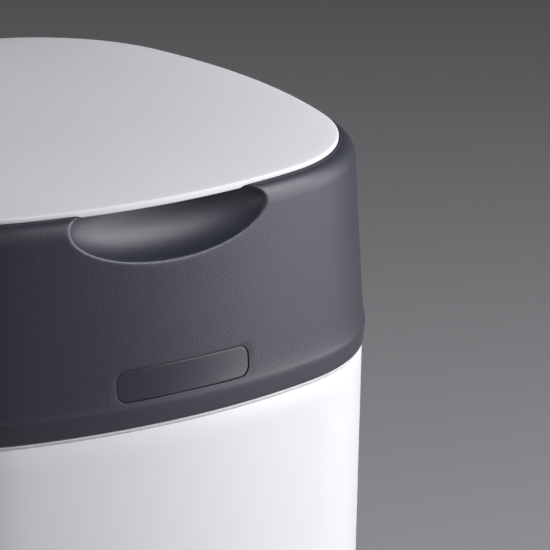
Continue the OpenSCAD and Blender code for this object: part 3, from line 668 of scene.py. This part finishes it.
def makeCollar():
    c = collar
    sheets = Sheets()
    scoopEnd = runAtDepth(c["scoopRows"])
    badgeStart, badgeEnd = (runAtDepth(d) for d in c["badgeBlock"])
    foot = runAtDepth(c["footDepth"] - c["footRound"])
    gaps = c["rowGaps"]  # between the rows down the skin, closer where it bends
    runs = spaced(0, c["edgeEnd"], gaps["edge"]) + spaced(c["edgeEnd"], c["shoulderEnd"], gaps["shoulder"])
    runs += spaced(c["shoulderEnd"], scoopEnd, gaps["scoop"])
    scoopRows = len(runs)
    runs += spaced(scoopEnd, badgeStart, gaps["wall"])
    badgeTop = len(runs)
    runs += spaced(badgeStart, badgeEnd, gaps["badge"])
    badgeBase = len(runs)
    creaseEnd = badgeEnd + c["creaseSpan"]
    runs += spaced(badgeEnd, creaseEnd, gaps["crease"]) + spaced(creaseEnd, foot, gaps["foot"])
    runs += spaced(foot, skinRun[-1], gaps["edge"]) + [skinRun[-1]]
    middle = plan["frontSteps"] // 2
    scoopLeft, scoopRight = middle - c["scoopColumns"], middle + c["scoopColumns"]
    badgeLeft, badgeRight = middle - c["badgeColumns"], middle + c["badgeColumns"]
    outer = [loop(square, skinSize(run), up(skinDepth(run))) for run in runs]

    def isOpen(r, col):
        inScoop = r < scoopRows and scoopLeft <= col < scoopRight
        return inScoop or (badgeTop <= r < badgeBase and badgeLeft <= col < badgeRight)

    sheets.grid(outer, closed=True, skip=isOpen)

    def at(r, col):
        return (square[col][0], runs[r])

    scoopBlock = [at(r, scoopLeft) for r in range(scoopRows + 1)]
    scoopBlock += [at(scoopRows, col) for col in range(scoopLeft + 1, scoopRight)]
    scoopBlock += [at(r, scoopRight) for r in range(scoopRows, -1, -1)]
    scoop = scoopPatch(sheets, scoopBlock)
    badgeBlock = [at(r, badgeLeft) for r in range(badgeTop, badgeBase)]
    badgeBlock += [at(badgeBase, col) for col in range(badgeLeft, badgeRight)]
    badgeBlock += [at(r, badgeRight) for r in range(badgeBase, badgeTop, -1)]
    badgeBlock += [at(badgeTop, col) for col in range(badgeRight, badgeLeft, -1)]
    badgePocket(sheets, badgeBlock)

    # the seat's wall and the flange; in front their columns follow the scoop
    seatZ = up(c["seatDepth"])
    topSize = c["flangeSize"] + 0.35
    flangeSizes = [c["seatSize"] + (topSize - c["seatSize"]) * k / 4 for k in range(5)]
    lip = [(c["flangeSize"] + 0.1, seatZ - 0.1), (c["flangeSize"], seatZ - 0.4)]
    seat = [outer[0]] + [loop(square, size, seatZ) for size in flangeSizes]
    seat += [loop(square, size, z) for size, z in lip]
    sheets.grid(seat, closed=True, skip=lambda r, col: scoopLeft <= col < scoopRight)
    back = scoop[-1]
    wallLeft = [row[0] for row in scoop]
    wallRight = [row[-1] for row in scoop]

    def under(line, stop):
        return [np.array((p[0], frontY(p[0] / c["seatSize"]) * c["seatSize"], seatZ))
                if abs(p[0]) > abs(stop[0]) else stop for p in line]

    lowLeft, lowRight = under(wallLeft, back[0]), under(wallRight, back[-1])
    sheets.grid([wallLeft, lowLeft])
    sheets.grid([wallRight, lowRight])
    ledge = [p for p in lowLeft if p[0] < back[0][0] - 1e-6] + list(back)
    ledge += [p for p in reversed(lowRight) if p[0] > back[-1][0] + 1e-6]
    shares = [p[0] / c["seatSize"] for p in ledge]
    inner = [np.array((q * topSize, frontY(q) * topSize, seatZ)) for q in shares]
    rows = [[a + (b - a) * k / 4 for a, b in zip(ledge, inner)] for k in range(5)]
    rows += [[(q * size, frontY(q) * size, z) for q in shares] for size, z in lip]
    sheets.grid(rows)
    below = loop(square, c["flangeSize"], up(c["flangeBase"]) + 0.6)
    sheets.stitch(rows[-1], below[scoopLeft:scoopRight + 1])
    sheets.grid([seat[-1], below], closed=True, skip=lambda r, col: scoopLeft <= col < scoopRight)

    # underside of the flange and the inner wall, pushed in behind the scoop
    centre, axes = np.array(c["scoopCentre"]), np.array(c["scoopAxes"]) + c["scoopWall"]

    def pushed(row):
        result = []
        for x, y, z in row:
            room = 1 - ((x - centre[0]) / axes[0]) ** 2 - ((z - centre[2]) / axes[2]) ** 2
            if room > 0 and y < c["pushFrom"]:
                y = max(y, centre[1] + axes[1] * math.sqrt(room))
            result.append((x, y, z))
        return result

    innerLine = [(c["flangeSize"], c["flangeBase"] - 0.6), (c["flangeSize"], c["flangeBase"] - 0.3),
                 (c["flangeSize"] + 0.3, c["flangeBase"]), (108, c["flangeBase"]), (113, c["flangeBase"])]
    innerLine += [(sizeAtDepth(d) - c["wall"], d) for d in [c["flangeBase"]] + c["innerDepths"]]
    innerLine += [(c["footSize"] - c["wall"] + 0.3, c["footDepth"]), (skinLine[-1][1], c["footDepth"])]
    sheets.grid([pushed(loop(square, size, up(d))) for size, d in innerLine], closed=True)
    return sheets.make("collar", 30)


collarMesh = makeCollar()
print("collar skin:", len(collarMesh.data.polygons), "faces")

# Hinges: the axis, the round of the knuckle and where the knuckle and the lugs beside it end.
# The web and arm points join the rounds to the collar, the tub and the lid.

lidHinge = {"y": 117.5, "z": 456.8, "barrel": 4.2, "pipe": 6.0, "knuckle": 16.0, "lugEnd": 26.3, "gap": 0.3,
            "openFrom": 110, "openBase": 458.3, "openTop": 470,
            "arm": [(112.6, 460.9), (111.0, 459.6), (109.2, 458.6), (109.2, 456.4), (113.4, 456.2)]}
tiltHinge = {"y": 130.5, "z": 380.0, "barrel": 4.5, "knuckle": 30.0, "lugEnd": 44.3, "gap": 0.3,
             "collarWeb": [(120.6, 399.6), (120.4, 382.6)], "tubWeb": [(122.6, 379.2), (122.9, 361.8)]}


def barrelRing(hinge, grow=0):
    return arcPoints(hinge["y"], hinge["z"], hinge["barrel"] + grow, 0, 360, 47)[:-1]


def addHingesToCollar():
    h, t = lidHinge, tiltHinge
    half = h["knuckle"] + h["gap"]
    notch = pulled("notch", barrelRing(h, h["gap"]), -half, half, "x", edge=0)
    openTo = h["y"] + h["barrel"] + 3
    doorway = [(h["openFrom"], h["openBase"]), (openTo, h["openBase"]), (openTo, h["openTop"]),
               (h["openFrom"], h["openTop"])]
    opening = pulled("opening", doorway, -half, half, "x", edge=0)
    trough = arcPoints(h["y"], h["z"], h["pipe"], 180, 360, 28)
    pipe = pulled("pipe", trough, -h["lugEnd"], h["lugEnd"], "x", edge=0.5)
    cut(collarMesh, notch, opening)
    cut(pipe, notch)
    lugs = []
    for side in (-1, 1):
        ends = sorted((side * half, side * h["lugEnd"]))
        lugs.append(pulled("lug", barrelRing(h), ends[0], ends[1], "x", edge=0.4))
    shape = arcPoints(t["y"], t["z"], t["barrel"], 144.7, 404.4, 36) + t["collarWeb"]
    knuckle = pulled("knuckle", shape, -t["knuckle"], t["knuckle"], "x", edge=0.6)
    drop(notch, opening)
    join("collar", [collarMesh, pipe, *lugs, knuckle], 30)


addHingesToCollar()
paint(collarMesh, finishes["collarGrey"])
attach(collarMesh, "top_unit")
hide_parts("collar_shell")
print("collar done")


# Badge panel: a smooth bare plate let into the collar's front, with a soft edge

badge = {"inset": 0.25, "base": 1.15, "edge": 0.35, "pointGap": 1.2,
         "rows": (0.8, 1.6, 2.6, 3.6, 4.6, 5.3), "seam": 5.69}  # seam ends 0.01 mm short of the middle: a fine slit


def makeBadge():
    halfW, halfH, corner = badgeLoop(0.0)
    outline = []
    for sx, sz, start in ((1, 1, 0), (-1, 1, 90), (-1, -1, 180), (1, -1, 270)):
        outline += arcPoints(sx * (halfW - corner), sz * (halfH - corner), corner, start, start + 90, 12)
    dense = []
    for i, p in enumerate(outline):
        n = outline[(i + 1) % len(outline)]
        steps = max(1, round(math.dist(p, n) / badge["pointGap"]))
        dense += [(p[0] + (n[0] - p[0]) * k / steps, p[1] + (n[1] - p[1]) * k / steps) for k in range(steps)]

    def row(shrink, inset):
        points = []
        for x, z in dense:
            sx = x * (halfW - shrink) / halfW
            sz = z * (halfH - shrink) / halfH
            size = sizeAtDepth(collar["badgeDepth"] - sz)
            points.append((sx, frontY(sx / size) * size + inset, up(collar["badgeDepth"] - sz)))
        return points

    b = badge
    rows = [row(0, b["base"]), row(0, b["inset"] + b["edge"])]
    for k in range(1, 6):
        a = math.pi / 2 * k / 5
        rows.append(row(b["edge"] * (1 - math.cos(a)), b["inset"] + b["edge"] * (1 - math.sin(a))))
    rows += [row(s, b["inset"]) for s in (*b["rows"], b["seam"])]
    sheets = Sheets()
    sheets.grid(rows, closed=True)
    sheets.grid([row(0, b["base"]), row(b["seam"], b["base"])], closed=True)
    return sheets.make("badgePanel", 50)


badgeMesh = paint(makeBadge(), finishes["badgeGrey"])
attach(badgeMesh, "top_unit")
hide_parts("badge_panel")
print("badge done")


# Lid: a thin crowned plate with a skirt below it and a knuckle at the back

lid = {
    "size": 115.0, "thick": 2.4, "crown": 4.0, "flatness": 3.6,
    "skirt": (100.0, 102.0), "skirtDepth": 7.0, "groove": (105.0, 108.0), "grooveDepth": 1.2, "underFrom": 6.7,
    "edgeLine": [(0.8, 0.0), (0.5, 0.05), (0.26, 0.15), (0.1, 0.32), (0, 0.6), (0, 1.3), (0, 1.72), (0.05, 1.86),
                 (0.18, 1.95), (0.7, 2.2), (1.25, 2.4)],
    "lipAt": -2.7, "lipHalf": 34.3, "lipDrop": 0.55, "lipStart": 1.5,
}


def lidRow(share, z):
    size = lid["size"] * share
    soft = share * share * (3 - 2 * share)
    return [((s[0] * soft + d[0] * (1 - soft)) * size, (s[1] * soft + d[1] * (1 - soft)) * size, z)
            for s, d in zip(square, disc)]


def makeLid():
    l = lid
    size = l["size"]
    sheets = Sheets()

    def dome(a):
        return l["crown"] * (1 - (a / size) ** l["flatness"])

    top = [0.006, 0.02] + [k / 34 for k in range(2, 34)] + [0.985]
    rows = [lidRow(share, lidEdge + dome(share * size)) for share in top]
    for inwards, depth in l["edgeLine"]:
        row = loop(square, size - inwards, up(depth))
        if depth > l["lipStart"]:  # the lip hangs down over the scoop
            row = [(x, y, z - (l["lipDrop"] if y < 0 and abs(x - l["lipAt"]) < l["lipHalf"] else 0))
                   for x, y, z in row]
        rows.append(row)
    thick, grooveDepth, skirtEnd = l["thick"], l["grooveDepth"], l["skirtDepth"]
    grooveIn, grooveOut = l["groove"]
    skirtIn, skirtOut = l["skirt"]
    under = [(size - l["underFrom"], thick), (grooveOut, thick), (grooveOut, grooveDepth), (grooveIn, grooveDepth),
             (grooveIn, thick), (skirtOut + 0.4, thick), (skirtOut, thick + 0.4), (skirtOut, skirtEnd - 0.5),
             (skirtOut - 0.4, skirtEnd), (skirtIn + 0.4, skirtEnd), (skirtIn, skirtEnd - 0.5)]
    rows += [loop(square, a, up(d)) for a, d in under]
    ceiling = [skirtIn / size] + [k / 20 for k in range(17, 1, -1)] + [0.02]
    rows += [lidRow(share, up(thick) + dome(share * size)) for share in ceiling]
    sheets.grid(rows, closed=True)
    sheets.cap(rows[0], (0, 0, lidEdge + l["crown"]))
    sheets.cap(rows[-1], (0, 0, up(thick) + l["crown"]))
    thing = sheets.make("lid", 40)
    h = lidHinge
    room = h["lugEnd"] + h["gap"]
    notch = pulled("notch", barrelRing(h, h["gap"]), -room, room, "x", edge=0)
    cut(thing, notch)
    # arm and barrel of the knuckle as one rounded side shape
    shape = arcPoints(h["y"], h["z"], h["barrel"], -90, 90, 24) + h["arm"]
    arm = pulled("arm", shape, -h["knuckle"], h["knuckle"], "x", edge=0.45)
    drop(notch)
    return join("lid", [thing, arm], 40)


lidMesh = paint(makeLid(), finishes["lidWhite"])
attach(lidMesh, "lid")
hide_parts("lid_shell")
print("lid done")


# Tub: tall white shell with a rounded foot, and the rim ring that closes its top

tub = {"foot": 122.2, "footRound": 6.0, "top": 124.4, "topHeight": 380.0, "wall": 2.4, "floor": 3.0,
       "padSize": 30, "recess": 1, "recessSize": 100.2, "wallFrom": 12, "edge": 0.35, "floorSize": 100,
       "floorLine": [(0.2, 7.0), (1.2, 4.6), (4.0, 3.0)]}  # in from the wall, and the height


def makeTub():
    t = tub
    wallEnd = t["topHeight"] - t["edge"]
    rows = [loop(disc, t["padSize"], 0), loop(disc, t["padSize"], t["recess"]),
            loop(disc, t["recessSize"], t["recess"]), loop(disc, t["recessSize"], 0)]
    footIn = t["foot"] - t["footRound"]
    for k in range(11):
        a = math.pi / 2 * k / 10
        rows.append(loop(square, footIn + t["footRound"] * math.sin(a), t["footRound"] * (1 - math.cos(a))))

    def size(z):
        return t["foot"] + (t["top"] - t["foot"]) * (z - t["footRound"]) / (t["topHeight"] - t["footRound"])

    rows += [loop(square, size(z), z) for z in np.linspace(t["wallFrom"], wallEnd, 46)]
    top = t["top"]
    rows += [loop(square, top - 0.1, t["topHeight"] - 0.1), loop(square, top - t["edge"], t["topHeight"]),
             loop(square, top - t["wall"] + 0.3, t["topHeight"]), loop(square, top - t["wall"], t["topHeight"] - 0.3)]
    rows += [loop(square, size(z) - t["wall"], z) for z in np.linspace(wallEnd - 6, t["wallFrom"], 30)]
    rows += [loop(square, t["foot"] - t["wall"] - inwards, z) for inwards, z in t["floorLine"]]
    rows += [loop(disc, t["floorSize"], t["floor"]), loop(disc, t["padSize"], t["floor"])]
    sheets = Sheets()
    sheets.grid(rows, closed=True)
    sheets.cap(rows[0], (0, 0, 0))
    sheets.cap(rows[-1], (0, 0, t["floor"]))
    thing = sheets.make("tub", 30)
    h = tiltHinge
    lugs = []
    for side in (-1, 1):
        ends = sorted((side * (h["knuckle"] + h["gap"]), side * h["lugEnd"]))
        shape = arcPoints(h["y"], h["z"], h["barrel"], -44.4, 190.2, 32) + h["tubWeb"]
        lugs.append(pulled("lug", shape, ends[0], ends[1], "x", edge=0.6))
    return join("tub", [thing, *lugs], 30)


tubMesh = paint(makeTub(), finishes["bodyWhite"])
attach(tubMesh, "base")
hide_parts("tub_shell")

# (size, height, own reach) around the ring's section
rimLine = [(121.8, 368), (121.8, 380), (123.4, 380, 0.1), (123.4, 380.8, 0.1), (124.5, 380.8), (124.5, 381.5),
           (120.7, 381.5, 0.1), (120.5, 389), (119.0, 389), (119.0, 383), (118.3, 383), (118.3, 381),
           (119.0, 381), (119.0, 368)]
rimMesh = paint(swept(Sheets(), square, rimLine, 0.28).make("rimRing", 40), finishes["bodyWhite"])
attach(rimMesh, "base")
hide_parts("rim_ring")
print("tub and rim done")


# Parts inside the collar, seen when the lid is open or the top is tipped back

inside = {
    "grip": {"outer": 101.5, "inner": 96.3, "top": 13.0, "base": 17.0, "tabs": 8, "tabIn": 97.3, "tabOut": 100.3,
             "tabWidth": 16.0, "tabTop": 9.0},
    "cup": [(98.3, 17), (98.3, 60.4), (60.3, 60.4), (60.3, 51.4), (62.3, 51.4), (62.3, 58), (96.3, 58), (96.3, 17)],
    "cassette": [(95.8, 22), (95.8, 58), (68, 58), (68, 30), (69.8, 30), (69.8, 56.2), (94, 56.2), (94, 22)],
    "cap": [(95.8, 22), (95.8, 20.2), (92, 20.2, 2.5), (72.2, 25.2), (72.2, 27), (92, 22, 2.5)],
    "film": {"inner": 70.2, "outer": 93.6, "base": 56.2, "pleats": 9, "rise": 2.8,
             "gathers": [(0.10, 60, 900), (0.08, 41, 2100)]},  # depth in mm, count around, twist with height
    "liner": [(20, 2.8), (70, 2.8), (99.5, 2.8), (99.75, 2.95), (99.9, 3.2), (99.9, 4.0), (99.75, 4.3), (99.5, 4.4),
              (92.6, 4.4), (92.2, 4.35), (91.8, 4.22), (91.2, 4.02), (90.8, 3.93), (90.4, 3.9), (60, 3.9), (20, 3.9)],
    "seal": [(107.9, 1.2), (107.9, 2.4, 0.5), (105.1, 2.4, 0.5), (105.1, 1.2)],
}
ringShape = circle(180)


def turned(name, profile, radius, shape=ringShape):
    line = [(p[0], up(p[1]), *p[2:]) for p in profile]
    return swept(Sheets(), shape, line, radius).make(name)


def fit(thing, finish, body, slot, *replaced):
    paint(thing, finishes[finish])
    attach(thing, body)
    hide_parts(*replaced)
    return thing


def turnAll(things, angle):
    for thing in things:
        thing.data.transform(Matrix.Rotation(angle, 4, "Z"))
    return things


def makeGripRing():
    g = inside["grip"]
    section = [(g["outer"], g["top"]), (g["outer"], g["base"]), (g["inner"], g["base"]), (g["inner"], g["top"])]
    ring = turned("ring", section, 0.9)
    parts = [ring]
    for i in range(g["tabs"]):
        half = g["tabWidth"] / 2
        middle = (g["tabIn"] + g["tabOut"]) / 2
        spread = math.degrees(half / middle)
        shape = arcPoints(0, 0, g["tabOut"] + 0.2, -spread, spread, 8)
        shape += arcPoints(0, 0, g["tabIn"] - 0.2, spread, -spread, 8)
        tab = pulled("tab", shape, up(g["top"] + 1.5), up(g["tabTop"]), "z", edge=1.1, steps=4)
        parts += turnAll([tab], math.tau * i / g["tabs"])
    return join("gripRing", parts)


def makeLiner():
    rows = [loop(square, size, up(depth)) for size, depth in inside["liner"]]
    sheets = Sheets()
    sheets.grid(rows, closed=True)
    sheets.cap(rows[0], (0, 0, up(inside["liner"][0][1])))
    sheets.cap(rows[-1], (0, 0, up(inside["liner"][-1][1])))
    return sheets.make("lidLiner", 32)


def makeFilm():
    f = inside["film"]
    inner, outer = [], []
    for i in range(f["pleats"]):
        foot = f["base"] - i * f["rise"]
        inner += [(f["inner"] + 1, foot, 0.3), (f["inner"], foot - f["rise"] / 2, 0.6)]
        outer += [(f["outer"] - 1, foot, 0.3), (f["outer"], foot - f["rise"] / 2, 0.6)]
    top = f["base"] - f["pleats"] * f["rise"]
    profile = inner + [(f["inner"] + 1, top), (f["outer"] - 1, top)] + outer[::-1]
    thing = turned("filmPack", profile, 0.4, circle(240))
    for vertex in thing.data.vertices:  # gathers in the film
        turn = math.atan2(vertex.co.y, vertex.co.x)
        pinch = sum(deep * math.sin(turn * count + vertex.co.z * twist) for deep, count, twist in f["gathers"])
        radius = math.hypot(vertex.co.x, vertex.co.y) / mm
        push = 1 + pinch / radius
        vertex.co.x *= push
        vertex.co.y *= push
    return thing


fit(makeGripRing(), "accentBlue", "turntable", "accent_blue", "grip_ring")
fit(turned("turntableCup", inside["cup"], 0.5), "innerWhite", "turntable", "inner_white", "turntable_cup")
fit(turned("cassette", inside["cassette"], 0.5), "cassetteBlue", "turntable", "cassette_blue", "cassette_body")
fit(turned("cassetteCap", inside["cap"], 0.6), "cassetteBlue", "turntable", "cassette_blue", "cassette_cap")
fit(makeFilm(), "film", "turntable", "film", "film_pack")
fit(makeLiner(), "innerGrey", "lid", "inner_grey", "lid_liner")
fit(turned("lidSeal", inside["seal"], 0.3, square), "rubber", "lid", "soft_rubber", "lid_seal")
print("inner rings done")


# Deck under the cassette: a rounded square plate with a round wall and a hub

deck = {"size": 121.35, "top": 60.7, "base": 63.1, "wall": (103.3, 105.3), "wallTop": 24.0,
        "hub": (58.0, 60.0), "hubTop": 54.1, "squareTo": 112, "roundFrom": 80, "edge": 0.5}


def makeDeck():
    d = deck
    wallIn, wallOut = d["wall"]
    hubIn, hubOut = d["hub"]
    top, base, edge, size = d["top"], d["base"], d["edge"], d["size"]
    line = [(square, size - edge, top), (square, d["squareTo"], top),
            (disc, wallOut + 0.6, top), (disc, wallOut, top - 0.6), (disc, wallOut, 30),
            (disc, wallOut, d["wallTop"] + 0.5), (disc, wallOut - 0.4, d["wallTop"]),
            (disc, wallIn + 0.4, d["wallTop"]), (disc, wallIn, d["wallTop"] + 0.5), (disc, wallIn, top - 0.6),
            (disc, wallIn - 0.6, top), (disc, d["roundFrom"], top), (disc, hubOut + 0.5, top),
            (disc, hubOut, top - 0.5), (disc, hubOut, d["hubTop"] + 0.5), (disc, hubOut - 0.5, d["hubTop"]),
            (disc, hubIn + 0.5, d["hubTop"]), (disc, hubIn, d["hubTop"] + 0.5), (disc, hubIn, base - 0.4),
            (disc, hubIn + 0.4, base), (disc, d["roundFrom"], base), (square, d["squareTo"], base),
            (square, size - edge, base), (square, size, base - edge), (square, size, top + edge),
            (square, size - edge, top)]
    sheets = Sheets()
    sheets.grid([loop(shape, size, up(depth)) for shape, size, depth in line], closed=True)
    return sheets.make("deck", 30)


fit(makeDeck(), "innerGrey", "top_unit", "inner_grey", "cassette_tray")


# Clamp flaps with their soft pads: one is made for the hinge on +X and turned to its side

flaps = {"axisX": 48.0, "axisDepth": 72.85, "half": 29.0, "thick": 2.2, "barrel": 2.65, "springHalf": 8.3,
         "hingeEdge": 46.5, "notchEdge": 44.65, "widest": 30, "tip": (4.5, 3.5),
         "padThick": 1.0, "pad": [(25, 22), (6.5, 3.5), (6.5, -3.5), (25, -22)],
         "ribsAt": (-12.0, 0.0, 12.0), "ribStart": 20, "ribSlope": 0.8, "ribEnd": 43, "ribHalf": 0.6, "ribDeep": 0.9,
         "ridgesAt": (11.5, 14.5, 17.5, 20.5), "ridgeHalf": 0.4, "ridgeDeep": 0.35,
         "sides": {"front": 270, "right": 0, "rear": 90, "left": 180}}


def makeFlap(side):
    f = flaps
    middle = up(f["axisDepth"])
    half, notch, far, near, wide = f["half"], f["springHalf"], f["hingeEdge"], f["notchEdge"], f["widest"]
    tip, tipHalf = f["tip"]
    shape = [(far, half), (wide, half), (tip, tipHalf), (tip, -tipHalf), (wide, -half), (far, -half),
             (far, -notch), (near, -notch), (near, notch), (far, notch)]
    parts = [pulled("plate", shape, middle - f["thick"] / 2, middle + f["thick"] / 2, "z", edge=0.5)]
    for start, end in ((-half, -notch), (notch, half)):
        barrel = pulled("barrel", arcPoints(0, 0, f["barrel"], 0, 360, 32)[:-1], start, end, "z", edge=0.4)
        place = Matrix.Translation((f["axisX"] * mm, 0, middle * mm))
        barrel.data.transform(place @ Matrix.Rotation(math.pi / 2, 4, "X"))
        parts.append(barrel)
    for y in f["ribsAt"]:  # stiffening ribs below the plate
        start, end, wing = f["ribStart"] + abs(y) * f["ribSlope"], f["ribEnd"], f["ribHalf"]
        rib = pulled("rib", [(start, y - wing), (end, y - wing), (end, y + wing), (start, y + wing)],
                     middle - f["thick"] / 2 - f["ribDeep"], middle - f["thick"] / 2 + 0.3, "z", edge=0.3)
        parts.append(rib)
    plate = join("flap" + side.capitalize(), turnAll(parts, math.radians(f["sides"][side])))
    low = middle + f["thick"] / 2
    pad = pulled("pad" + side.capitalize(), f["pad"], low, low + f["padThick"], "z", edge=0.4)
    ridges = []
    for x in f["ridgesAt"]:
        reach = 3.5 + (x - 6.5) - 2.5  # short of the pad's slanted edge
        wing, top = f["ridgeHalf"], low + f["padThick"]
        ridges.append(pulled("ridge", [(x - wing, -reach), (x + wing, -reach), (x + wing, reach), (x - wing, reach)],
                             top - f["ridgeDeep"], top + f["ridgeDeep"], "z", edge=0))
    cut(pad, *ridges)
    drop(*ridges)
    turnAll([pad], math.radians(f["sides"][side]))
    smooth(pad)
    return plate, pad


for side in flaps["sides"]:
    plate, pad = makeFlap(side)
    fit(plate, "innerWhite", side + "_flap", "inner_white", "flap_" + side)
    fit(pad, "rubber", side + "_flap", "soft_rubber", "pad_" + side)
print("deck and flaps done")


# Finishes of the nodes that keep their own shape

nodeFinishes = {
    "pinSteel": ["tilt_hinge_pin", "lid_hinge_pin", "tray_screws", "carrier_screws", "flap_pins", "flap_springs",
                 "cutter_pivot"],
    "bladeSteel": ["cutter_blade"],
    "orange": ["cutter_arm"],
    "innerGrey": ["catch_hook", "clamp_carrier"],
    "accentBlue": ["click_pawl", "ratchet_ring"],
}
for finishName, names in nodeFinishes.items():
    for name in names:
        paint(nodes[name], finishes[finishName])
